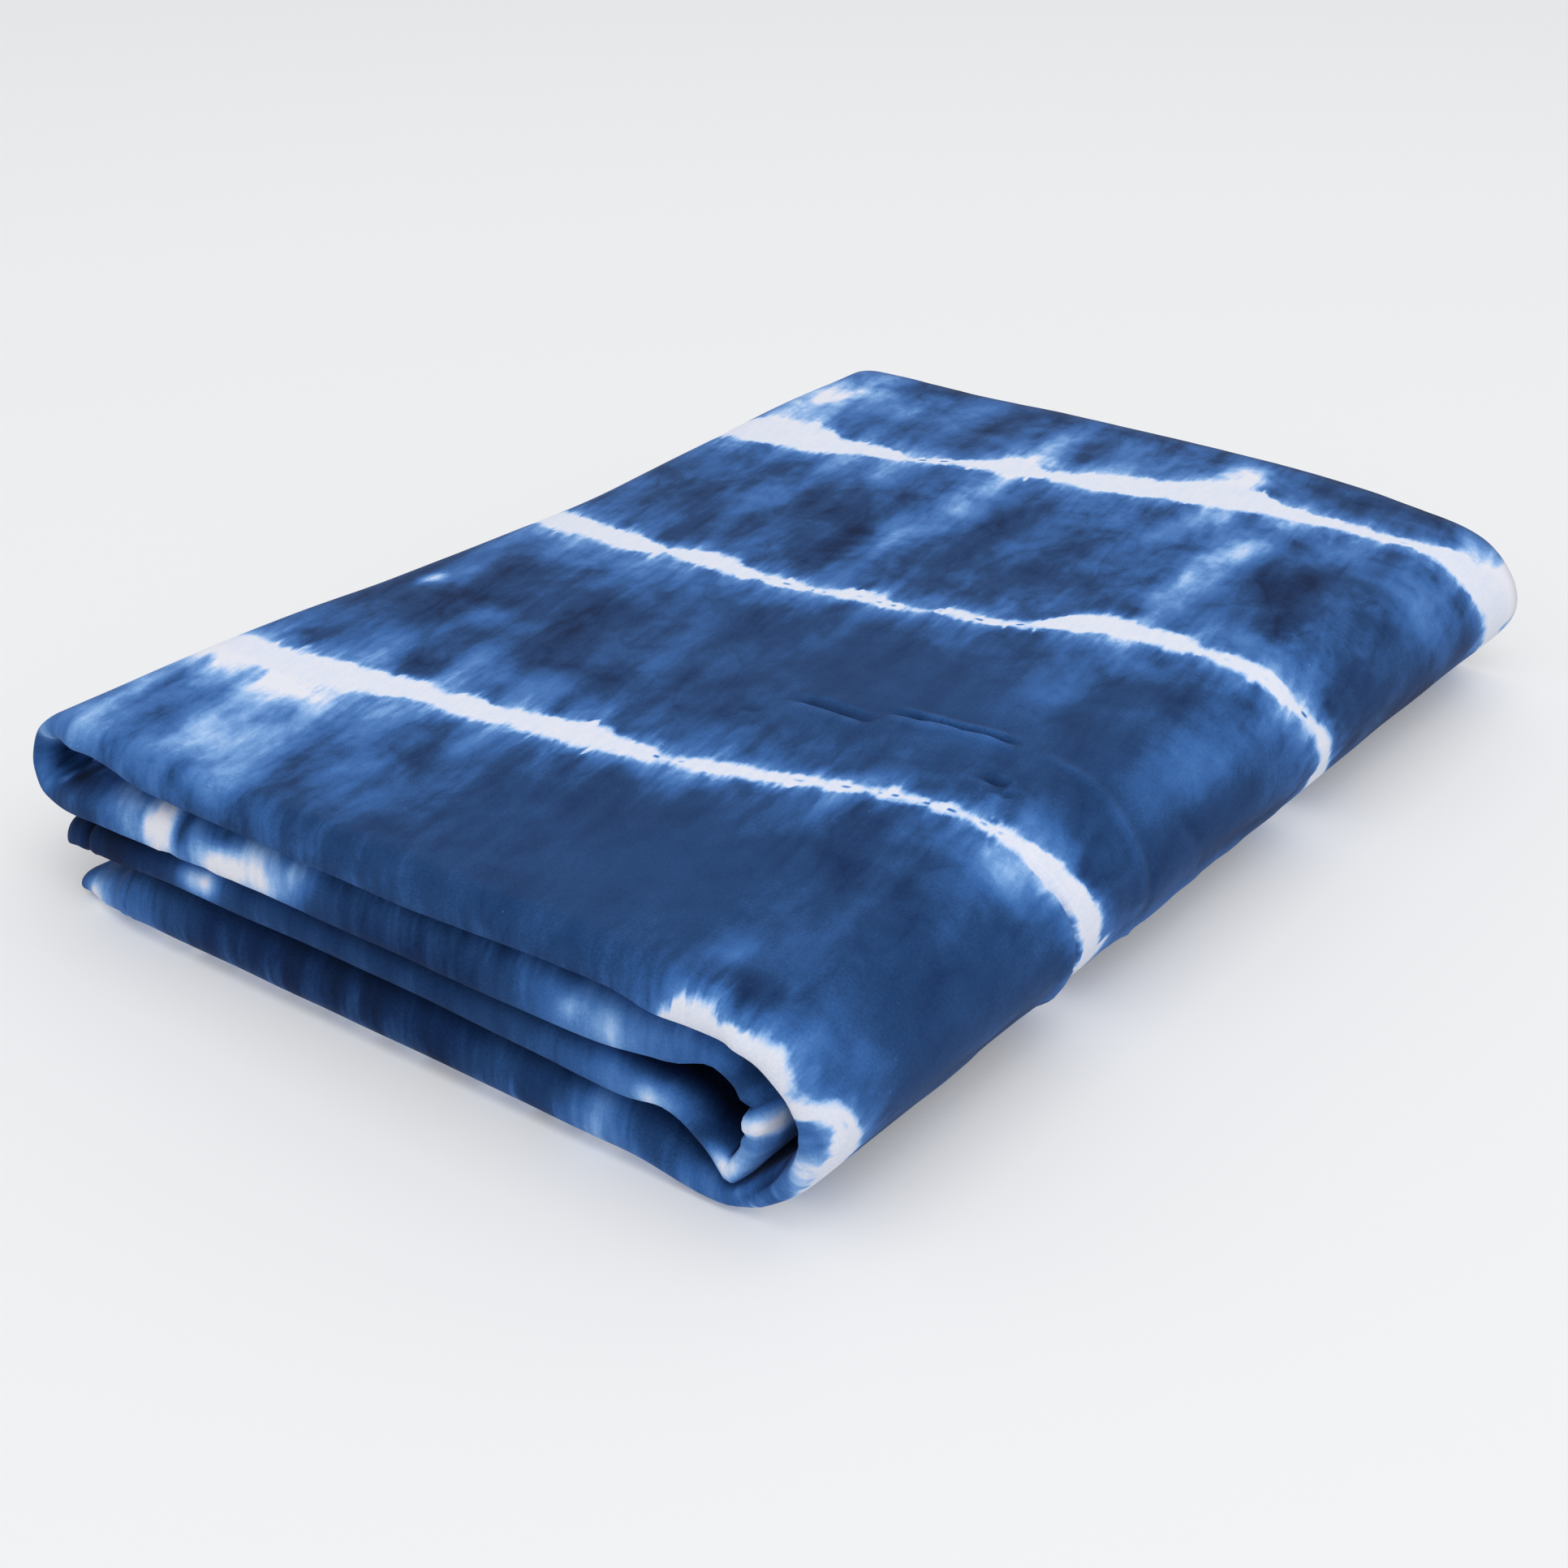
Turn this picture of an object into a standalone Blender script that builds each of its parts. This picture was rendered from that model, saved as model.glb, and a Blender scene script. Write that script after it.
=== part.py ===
"""A cotton cloth dyed in shibori stripes, folded into a flat pack that lies on a surface.

+X runs along the front from the left fold to the spine, +Y runs back along the spine, +Z is up, in metres.
The cloth is first folded twice across its width into a strip of four layers, with one round fold along
the front. The strip then lies in four passes: along the bottom, round the spine, back over the top, down
at the left, in again as the second pass, and round inside the spine to end as the third pass.
"""

import math
from collections import namedtuple

import bpy
import numpy as np

# Driving sizes of the folded pack
PACK_WIDTH = 0.285
PACK_LENGTH = 0.397
PACK_HEIGHT = 0.058
CLOTH_THICKNESS = 0.0012

CLOTH_COLOUR = (0.035, 0.085, 0.24, 1.0)
CLOTH_ROUGHNESS = 0.85

FRONT_Y = -PACK_LENGTH / 2
BACK_Y = PACK_LENGTH / 2
MM = 0.001

# The strip's sections, from the end on the surface to the end inside, in millimetres. x and z place the
# strip's middle line, half is half its thickness, front_in and back_in are how far its front fold and its
# back edges stay inside the pack, and tuck is how much deeper the front is pushed in on the side that
# faces into the spiral. nose is how high the tip of the front fold lies, from -1 on that side to 1 on the
# outer side. steps is how many steps the grid takes to the next section.
Section = namedtuple("Section", "where x z half front_in back_in tuck nose steps")
SECTIONS = (
    Section("hem, on the surface", -122.5, 3.7, 3.7, 9.0, 12.0, 0.0, 0.10, 2),
    Section("hem, rising", -110.5, 5.8, 5.8, 4.0, 9.0, 0.0, 0.15, 2),
    Section("bottom, left", -96.0, 9.6, 9.6, 1.4, 6.0, 0.0, 0.20, 3),
    Section("bottom, middle", 0.0, 10.2, 10.2, 1.0, 5.0, 0.0, 0.25, 3),
    Section("bottom, right", 80.0, 8.8, 8.8, 1.0, 5.0, 0.0, 0.25, 3),
    Section("bottom, at the spine", 109.0, 3.9, 3.9, 1.4, 5.0, 0.0, 0.30, 3),
    Section("spine, low", 126.4, 10.4, 4.2, 2.6, 5.0, 3.0, 0.40, 3),
    Section("spine, middle", 136.9, 29.6, 5.4, 1.6, 5.0, 4.0, -0.40, 3),
    Section("spine, high", 126.0, 47.0, 5.4, 0.6, 4.0, 3.0, -0.75, 3),
    Section("top, at the spine", 98.0, 52.4, 5.2, 1.0, 3.0, 0.0, -0.80, 3),
    Section("top, middle", 0.0, 52.0, 5.8, 1.0, 2.0, 0.0, -0.80, 3),
    Section("top, left", -82.0, 52.4, 5.2, 1.6, 2.0, 0.0, -0.80, 2),
    Section("top, far left", -112.0, 54.0, 4.2, 3.0, 2.0, 2.0, -0.40, 2),
    Section("left, high", -126.8, 52.4, 4.2, 6.0, 3.0, 8.0, 0.30, 3),
    Section("left, middle", -137.2, 42.4, 4.6, 8.0, 4.0, 12.0, 0.60, 3),
    Section("left, low", -132.0, 33.4, 4.2, 5.0, 3.0, 8.0, 0.60, 2),
    Section("second, far left", -114.0, 34.6, 5.0, 2.2, 2.0, 3.0, 0.75, 2),
    Section("second, left", -76.0, 37.8, 6.4, 1.0, 2.0, 0.0, 0.85, 3),
    Section("second, middle", 0.0, 38.2, 6.8, 1.0, 2.0, 0.0, 0.85, 3),
    Section("second, right", 72.0, 37.8, 6.8, 1.2, 3.0, 0.0, 0.85, 2),
    Section("second, end", 96.0, 39.4, 5.4, 1.2, 4.0, 0.0, 0.80, 2),
    Section("inner turn, high", 110.6, 40.8, 3.4, 2.0, 6.0, 2.0, 0.60, 2),
    Section("inner turn, strip", 118.8, 35.4, 3.4, 2.6, 7.0, 3.0, 0.50, 2),
    Section("inner turn, middle", 122.4, 28.6, 3.3, 2.6, 7.0, 3.0, 0.50, 2),
    Section("inner turn, low", 121.2, 20.6, 3.1, 2.4, 7.0, 3.0, 0.50, 2),
    Section("inner turn, crease", 114.6, 13.2, 2.9, 1.6, 7.0, 2.0, 0.40, 4),
    Section("third, dip", 99.0, 23.6, 3.8, 1.2, 7.0, 0.0, -0.60, 2),
    Section("third, right", 82.0, 24.0, 4.9, 1.4, 7.0, 0.0, -0.85, 3),
    Section("third, middle", 0.0, 26.0, 4.6, 2.0, 7.0, 0.0, -0.85, 3),
    Section("third, left", -94.0, 24.6, 4.4, 2.2, 8.0, 0.0, -0.80, 2),
    Section("third, end", -124.5, 21.4, 4.4, 4.0, 12.0, 0.0, -0.40, 0),
)

# The left side of the pack stands out further at the back than at the front
LEFT_SLANT = 0.003

# Soft swells (+) and hollows (-) of the pack's top, and how far they spread
Swell = namedtuple("Swell", "x y spread_x spread_y rise")
SWELLS = (
    Swell(-0.155, 0.030, 0.065, 0.110, -0.0075),
    Swell(-0.110, 0.200, 0.080, 0.040, -0.0020),
    Swell(0.060, 0.210, 0.120, 0.045, -0.0030),
    Swell(0.125, 0.205, 0.050, 0.080, -0.0050),
    Swell(0.020, -0.090, 0.090, 0.060, 0.0008),
    Swell(0.030, 0.060, 0.110, 0.050, -0.0010),
)

# How many steps the grid has across the strip
LAYER_STEPS = 5
NOSE_STEPS = 8
INNER_FOLD_STEPS = 4

INNER_SHARE = 1 / 3          # the two inner layers lie a third of the way out from the middle
NOSE_DEPTH = 1.3             # the front fold is this deep for its half thickness
TUCK_REACH = 0.050           # how far back a tuck fades out
INNER_NOSE_BACK = 0.0060     # the inner fold lies this far behind the outer one
INNER_BACK_IN = 0.0040       # and the inner layers end this far inside the outer ones


def ease(t):
    """0 to 1 with a soft start and end."""
    t = np.clip(t, 0.0, 1.0)
    return t * t * (3 - 2 * t)


def strip_sections():
    """The sections and the steps between them, in metres: a smooth curve through the table's rows."""
    rows = np.array([[s.x, s.z, s.half, s.front_in, s.back_in, s.tuck] for s in SECTIONS]) * MM
    rows = np.column_stack([rows, [s.nose for s in SECTIONS]])
    reach = np.sqrt(np.linalg.norm(np.diff(rows[:, :2], axis=0), axis=1))
    knots = np.concatenate([[0], np.cumsum(reach)])
    slopes = np.gradient(rows, knots, axis=0)
    slopes[:, 2:] = 0.0
    slopes[rows[:, 1] == rows[:, 2], 1] = 0.0       # these sections lie on the surface
    fine = []
    for index, section in enumerate(SECTIONS[:-1]):
        span = knots[index + 1] - knots[index]
        for step in range(section.steps):
            t = step / section.steps
            fine.append(
                (1 + 2 * t) * (1 - t) ** 2 * rows[index]
                + t * (1 - t) ** 2 * span * slopes[index]
                + t * t * (3 - 2 * t) * rows[index + 1]
                + t * t * (t - 1) * span * slopes[index + 1]
            )
    fine.append(rows[-1])
    return np.array(fine)


def outward(points):
    """The unit normal of the middle line, on the right of its heading."""
    heading = np.gradient(points, axis=0)
    heading /= np.linalg.norm(heading, axis=1)[:, None]
    return np.stack([heading[:, 1], -heading[:, 0]], axis=1)


def round_fold(start, end, tip, y_root, y_tip, steps):
    """The round fold between two layers: (y, height) pairs from one layer to the other."""
    rows = []
    for step in range(steps):
        angle = math.pi * step / steps
        side = start if angle < math.pi / 2 else end
        height = tip + (side - tip) * abs(math.cos(angle))
        rows.append((y_root + (y_tip - y_root) * math.sin(angle), height))
    return rows


def across(half, front, back, tuck, nose):
    """One section across the strip, as (y, height above the middle line) from the outer layer's back
    edge, round the front fold, back under it, round the back fold and in again to the inner edge."""
    outer = half - CLOTH_THICKNESS / 2
    inner = outer * INNER_SHARE
    root = front + NOSE_DEPTH * half
    inner_root = root + INNER_NOSE_BACK + tuck
    inner_back = back - INNER_BACK_IN
    back_tip = inner_back + (outer - inner) / 2
    shares = np.arange(LAYER_STEPS) / LAYER_STEPS
    rows = [(back + (root - back) * share, outer) for share in shares]
    rows += round_fold(outer, -outer, nose * outer, root, front, NOSE_STEPS)
    rows += [(root + (inner_back - root) * share, -outer) for share in shares]
    rows += round_fold(-outer, -inner, -(outer + inner) / 2, inner_back, back_tip, INNER_FOLD_STEPS)
    rows += [(inner_back + (inner_root - inner_back) * share, -inner) for share in shares]
    rows += round_fold(-inner, inner, 0.0, inner_root, inner_root - inner, INNER_FOLD_STEPS)
    rows += [(inner_root + (back - inner_root) * share, inner) for share in [*shares, 1.0]]
    rows = np.array(rows)
    near_front = ease((root + TUCK_REACH - rows[:, 0]) / TUCK_REACH)
    rows[:, 0] += tuck * ease((-rows[:, 1] - inner) / (outer - inner)) * near_front
    return rows


def settle(points):
    """The slant of the left side, and the swells, which grow from nothing at the floor to the top."""
    x, y, z = points[:, 0].copy(), points[:, 1], points[:, 2]
    leftness = np.clip(-x / (PACK_WIDTH / 2), 0, 1)
    points[:, 0] += LEFT_SLANT * leftness * (BACK_Y - y) / PACK_LENGTH
    rise = np.zeros(len(points))
    for swell in SWELLS:
        spread = ((x - swell.x) / swell.spread_x) ** 2 + ((y - swell.y) / swell.spread_y) ** 2
        rise += swell.rise * np.exp(-spread)
    points[:, 2] = z + rise * z / PACK_HEIGHT
    return points


def folded_points():
    """Every point of the folded cloth, section by section along the strip, centred on the origin."""
    fine = strip_sections()
    line = fine[:, :2]
    normal = outward(line)
    normal[np.isclose(line[:, 1], fine[:, 2])] = (0.0, -1.0)        # flat where it lies on the surface
    sections = []
    for middle, side, (half, front_in, back_in, tuck, nose) in zip(line, normal, fine[:, 2:]):
        rows = across(half, FRONT_Y + front_in, BACK_Y - back_in, tuck, nose)
        xz = middle + rows[:, 1:] * side
        sections.append(np.column_stack([xz[:, 0], rows[:, 0], xz[:, 1]]))
    points = settle(np.concatenate(sections))
    points[:, :2] -= (points.min(axis=0) + points.max(axis=0))[:2] / 2
    return points, len(sections), len(sections[0])


def cloth_material():
    """Indigo cotton."""
    material = bpy.data.materials.new("indigo_cotton")
    material.use_nodes = True
    shader = material.node_tree.nodes["Principled BSDF"]
    shader.inputs["Base Color"].default_value = CLOTH_COLOUR
    shader.inputs["Roughness"].default_value = CLOTH_ROUGHNESS
    shader.inputs["Metallic"].default_value = 0.0
    return material


def folded_cloth(collection):
    """The flat cloth as a grid, each of its points moved to its folded place, and thickened."""
    points, columns, rows = folded_points()
    bpy.ops.mesh.primitive_grid_add(x_subdivisions=rows - 1, y_subdivisions=columns - 1, size=1)
    cloth = bpy.context.active_object
    cloth.name = "folded_cloth"
    cloth.data.name = "folded_cloth"
    cloth.data.vertices.foreach_set("co", points.astype(np.float32).ravel())
    cloth.data.update()
    for owner in list(cloth.users_collection):
        owner.objects.unlink(cloth)
    collection.objects.link(cloth)
    cloth.data.materials.append(cloth_material())
    cloth.data.shade_smooth()
    thickness = cloth.modifiers.new("thickness", "SOLIDIFY")
    thickness.thickness = CLOTH_THICKNESS
    thickness.offset = 0.0
    return cloth


def main():
    for leftover in list(bpy.data.objects):
        bpy.data.objects.remove(leftover, do_unlink=True)
    collection = bpy.data.collections.new("shibori_cloth")
    bpy.context.scene.collection.children.link(collection)
    folded_cloth(collection)


main()
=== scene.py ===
import math
from collections import namedtuple

import bpy
import numpy as np
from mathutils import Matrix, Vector, noise


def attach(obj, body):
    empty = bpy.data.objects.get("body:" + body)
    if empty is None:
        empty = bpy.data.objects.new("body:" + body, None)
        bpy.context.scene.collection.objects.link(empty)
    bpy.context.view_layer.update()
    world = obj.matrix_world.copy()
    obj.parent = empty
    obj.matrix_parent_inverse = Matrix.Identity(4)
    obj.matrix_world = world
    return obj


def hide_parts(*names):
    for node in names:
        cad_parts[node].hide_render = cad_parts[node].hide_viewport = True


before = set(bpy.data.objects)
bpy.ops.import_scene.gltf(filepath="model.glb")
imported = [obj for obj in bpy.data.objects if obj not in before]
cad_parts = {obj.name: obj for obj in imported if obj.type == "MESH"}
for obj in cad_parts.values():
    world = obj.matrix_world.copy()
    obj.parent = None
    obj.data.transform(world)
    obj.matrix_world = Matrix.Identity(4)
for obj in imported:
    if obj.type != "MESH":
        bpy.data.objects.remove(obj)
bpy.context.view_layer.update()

# A cotton cloth dyed in shibori stripes and folded into a flat pack. +X runs along the front to the
# spine, +Y back along the spine and +Z up, in metres. Four layers with one round fold along the front
# make a strip, and the strip lies in four passes: the bottom, the top over the spine, and two inside.

mm = 0.001

# The pack's real sizes, as the solid has them, and the cloth's own thickness
pack = {
    "width": 0.285,
    "length": 0.397,
    "height": 0.058,
    "sheet": 0.0006,
    "leftSlant": 0.003,       # the left side stands out further at the back
    "innerShare": 1 / 3,      # the inner layers lie a third of the way out from the middle
    "noseDepth": 1.3,         # the front fold is this deep for its half thickness
    "tuckReach": 0.050,
    "innerNoseBack": 0.0060,
    "innerBackIn": 0.0040,
}

# Steps across the strip: the outer layer that shows, its front fold, the layer under it, the hidden ones
acrossSteps = {"outer": 94, "nose": 22, "under": 12, "backFold": 4, "inner": 5, "innerNose": 4}

# The outer layer has finer steps where thin creases lie: how far from the back, in mm, how wide, and how
# much finer
fineRow = namedtuple("fineRow", "where back spread extra")
fineRows = [
    fineRow("round both creases", 268, 52, 0.7),
    fineRow("middle crease", 252, 6, 3.0),
    fineRow("fold over the spine", 293, 5, 4.0),
]
fineSamples = 400

# The strip's sections from the hem on the surface to the end inside. x and z place its middle line in mm,
# half is half its thickness, frontIn and backIn how far its folds stay inside the pack, tuck how much
# deeper the front is pushed in on the side inside the spiral, and nose where the front fold's tip lies,
# -1 to 1.
foldRow = namedtuple("foldRow", "where x z half frontIn backIn tuck nose steps")
foldRows = [
    foldRow("hem, on the surface", -122.5, 3.7, 3.7, 9.0, 12.0, 0.0, 0.10, 8),
    foldRow("hem, rising", -110.5, 5.8, 5.8, 4.0, 9.0, 0.0, 0.15, 10),
    foldRow("bottom, left", -96.0, 9.6, 9.6, 1.4, 6.0, 0.0, 0.20, 13),
    foldRow("bottom, middle", 0.0, 10.2, 10.2, 1.0, 5.0, 0.0, 0.25, 12),
    foldRow("bottom, right", 80.0, 8.8, 8.8, 1.0, 5.0, 0.0, 0.25, 7),
    foldRow("bottom, at the spine", 109.0, 3.9, 3.9, 1.4, 5.0, 0.0, 0.30, 9),
    foldRow("spine, low", 126.4, 10.4, 4.2, 2.6, 5.0, 3.0, 0.40, 12),
    foldRow("spine, middle", 136.9, 29.6, 5.4, 1.6, 5.0, 4.0, -0.40, 12),
    foldRow("spine, high", 126.0, 47.0, 5.4, 0.6, 4.0, 3.0, -0.75, 14),
    foldRow("top, at the spine", 98.0, 52.4, 5.2, 1.0, 3.0, 0.0, -0.80, 34),
    foldRow("top, middle", 0.0, 52.0, 5.8, 1.0, 2.0, 0.0, -0.80, 26),
    foldRow("top, left", -82.0, 52.4, 5.2, 1.6, 2.0, 0.0, -0.80, 12),
    foldRow("top, far left", -112.0, 54.0, 4.2, 3.0, 2.0, 2.0, -0.40, 9),
    foldRow("left, high", -126.8, 52.4, 4.2, 6.0, 3.0, 8.0, 0.30, 11),
    foldRow("left, middle", -137.2, 42.4, 4.6, 8.0, 4.0, 12.0, 0.60, 10),
    foldRow("left, low", -132.0, 33.4, 4.2, 5.0, 3.0, 8.0, 0.60, 9),
    foldRow("second, far left", -114.0, 34.6, 5.0, 2.2, 2.0, 3.0, 0.75, 10),
    foldRow("second, left", -76.0, 37.8, 6.4, 1.0, 2.0, 0.0, 0.85, 14),
    foldRow("second, middle", 0.0, 38.2, 6.8, 1.0, 2.0, 0.0, 0.85, 12),
    foldRow("second, right", 72.0, 37.8, 6.8, 1.2, 3.0, 0.0, 0.85, 6),
    foldRow("second, end", 96.0, 39.4, 5.4, 1.2, 4.0, 0.0, 0.80, 4),
    foldRow("inner turn, high", 110.6, 40.8, 3.4, 2.0, 6.0, 2.0, 0.60, 6),
    foldRow("inner turn, strip", 118.8, 35.4, 3.4, 2.6, 7.0, 3.0, 0.50, 5),
    foldRow("inner turn, middle", 122.4, 28.6, 3.3, 2.6, 7.0, 3.0, 0.50, 6),
    foldRow("inner turn, low", 121.2, 20.6, 3.1, 2.4, 7.0, 3.0, 0.50, 5),
    foldRow("inner turn, crease", 114.6, 13.2, 2.9, 1.6, 7.0, 2.0, 0.40, 10),
    foldRow("third, dip", 99.0, 23.6, 3.8, 1.2, 7.0, 0.0, -0.60, 6),
    foldRow("third, right", 82.0, 24.0, 4.9, 1.4, 7.0, 0.0, -0.85, 13),
    foldRow("third, middle", 0.0, 26.0, 4.6, 2.0, 7.0, 0.0, -0.85, 14),
    foldRow("third, left", -94.0, 24.6, 4.4, 2.2, 8.0, 0.0, -0.80, 16),
    foldRow("third, end", -124.5, 21.4, 4.4, 4.0, 12.0, 0.0, -0.40, 0),
]

# Soft swells and hollows of the pack's top, in mm: where, how far they spread, and how high they rise
swellRow = namedtuple("swellRow", "x y spreadX spreadY rise")
swellRows = [
    swellRow(-155, 30, 65, 110, -7.5),
    swellRow(-110, 200, 80, 40, -2.0),
    swellRow(60, 210, 120, 45, -3.0),
    swellRow(125, 205, 50, 80, -5.0),
    swellRow(20, -90, 90, 60, 0.8),
    swellRow(30, 60, 110, 50, -1.0),
]


def ease(t):
    t = np.clip(t, 0.0, 1.0)
    return t * t * (3 - 2 * t)


def stripSections():
    # The rows above, with smooth curves through them
    rows = np.array([[r.x, r.z, r.half, r.frontIn, r.backIn, r.tuck] for r in foldRows]) * mm
    rows = np.column_stack([rows, [r.nose for r in foldRows]])
    reach = np.sqrt(np.linalg.norm(np.diff(rows[:, :2], axis=0), axis=1))
    knots = np.concatenate([[0], np.cumsum(reach)])
    slopes = np.gradient(rows, knots, axis=0)
    slopes[:, 2:] = 0.0
    slopes[rows[:, 1] == rows[:, 2], 1] = 0.0       # these sections lie on the surface
    fine = []
    for index, row in enumerate(foldRows[:-1]):
        span = knots[index + 1] - knots[index]
        for step in range(row.steps):
            t = step / row.steps
            fine.append(
                (1 + 2 * t) * (1 - t) ** 2 * rows[index]
                + t * (1 - t) ** 2 * span * slopes[index]
                + t * t * (3 - 2 * t) * rows[index + 1]
                + t * t * (t - 1) * span * slopes[index + 1]
            )
    fine.append(rows[-1])
    return np.array(fine)


def outward(line):
    heading = np.gradient(line, axis=0)
    heading /= np.linalg.norm(heading, axis=1)[:, None]
    return np.stack([heading[:, 1], -heading[:, 0]], axis=1)


def roundFold(start, end, tip, yRoot, yTip, steps):
    # A half round from one height to another, its tip furthest out
    rows = []
    for step in range(steps):
        angle = math.pi * step / steps
        side = start if angle < math.pi / 2 else end
        height = tip + (side - tip) * abs(math.cos(angle))
        rows.append((yRoot + (yTip - yRoot) * math.sin(angle), height))
    return rows


def shares(steps):
    return np.arange(steps) / steps


def fineShares(steps):
    # The same, with the steps drawn together where fineRows says
    reach = np.linspace(0, 1, fineSamples)
    density = np.ones(fineSamples)
    for f in fineRows:
        density += f.extra * np.exp(-(((reach * pack["length"] / mm - f.back) / f.spread) ** 2))
    density = np.cumsum(density)
    density = (density - density[0]) / (density[-1] - density[0])
    return np.interp(shares(steps), density, reach)


def across(half, front, back, tuck, nose):
    # One section, as y and height over the middle line, from the outer layer's back edge to the inner's
    steps = acrossSteps
    outer = half - pack["sheet"] / 2
    inner = outer * pack["innerShare"]
    root = front + pack["noseDepth"] * half
    innerRoot = root + pack["innerNoseBack"] + tuck
    innerBack = back - pack["innerBackIn"]
    backTip = innerBack + (outer - inner) / 2
    rows = [(back + (root - back) * t, outer) for t in fineShares(steps["outer"])]
    rows += roundFold(outer, -outer, nose * outer, root, front, steps["nose"])
    rows += [(root + (innerBack - root) * t, -outer) for t in shares(steps["under"])]
    rows += roundFold(-outer, -inner, -(outer + inner) / 2, innerBack, backTip, steps["backFold"])
    rows += [(innerBack + (innerRoot - innerBack) * t, -inner) for t in shares(steps["inner"])]
    rows += roundFold(-inner, inner, 0.0, innerRoot, innerRoot - inner, steps["innerNose"])
    rows += [(innerRoot + (back - innerRoot) * t, inner) for t in [*shares(steps["inner"]), 1.0]]
    rows = np.array(rows)
    nearFront = ease((root + pack["tuckReach"] - rows[:, 0]) / pack["tuckReach"])
    rows[:, 0] += tuck * ease((-rows[:, 1] - inner) / (outer - inner)) * nearFront
    return rows


def settle(points):
    # The pack's slanting left side and the swells of its top
    x, y, z = points[:, 0].copy(), points[:, 1], points[:, 2]
    leftness = np.clip(-x / (pack["width"] / 2), 0, 1)
    points[:, 0] += pack["leftSlant"] * leftness * (pack["length"] / 2 - y) / pack["length"]
    rise = np.zeros(len(points))
    for s in swellRows:
        spread = ((x / mm - s.x) / s.spreadX) ** 2 + ((y / mm - s.y) / s.spreadY) ** 2
        rise += s.rise * mm * np.exp(-spread)
    points[:, 2] = z + rise * z / pack["height"]
    return points


def foldedGrid():
    fine = stripSections()
    line = fine[:, :2]
    normal = outward(line)
    normal[np.isclose(line[:, 1], fine[:, 2])] = (0.0, -1.0)        # flat where it lies on the surface
    sections = []
    for middle, side, (half, frontIn, backIn, tuck, nose) in zip(line, normal, fine[:, 2:]):
        rows = across(half, frontIn - pack["length"] / 2, pack["length"] / 2 - backIn, tuck, nose)
        xz = middle + rows[:, 1:] * side
        sections.append(np.column_stack([xz[:, 0], rows[:, 0], xz[:, 1]]))
    points = settle(np.concatenate(sections))
    points[:, :2] -= (points.min(axis=0) + points.max(axis=0))[:2] / 2
    return points.reshape(len(sections), -1, 3)


# Pushes and pulls that shape the front folds: the middle, how far each reaches, and the move, all in mm
nudgeRow = namedtuple("nudgeRow", "where x y z spreadX spreadY spreadZ moveX moveY moveZ")
nudgeRows = [
    nudgeRow("the hem's end, flat", -124, -190, 3, 9, 12, 8, -4.5, -1.5, 0.0),
    nudgeRow("left end, hollow", -119, -194, 43.5, 11, 10, 4.5, 0.0, 9.0, 0.0),
    nudgeRow("left end, lip over it", -120, -195, 51, 12, 9, 3.5, 0.0, -1.5, -0.5),
    nudgeRow("left end, facet", -138, -190, 39, 6, 10, 4, 0.4, -1.0, 0.0),
    nudgeRow("top's front edge, kink", 93, -196, 47, 8, 9, 5, 0.0, -0.8, -1.0),
    nudgeRow("wrap's edge, corner", 119, -197, 46, 4, 9, 4, -1.6, -1.6, 0.6),
    nudgeRow("wrap's edge, under it", 122, -196, 40, 6, 12, 5, -2.2, 0.6, -0.8),
    nudgeRow("piece folded out of the turn", 122, -194, 25, 6, 8, 4.5, -0.8, -2.0, 0.0),
    nudgeRow("inner turn's sharp end", 114, -195, 11, 4, 12, 4.5, 1.0, -1.5, -2.6),
    nudgeRow("third pass, lifted", 92, -196, 22, 12, 12, 6, 0.0, -0.6, 0.8),
]

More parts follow.
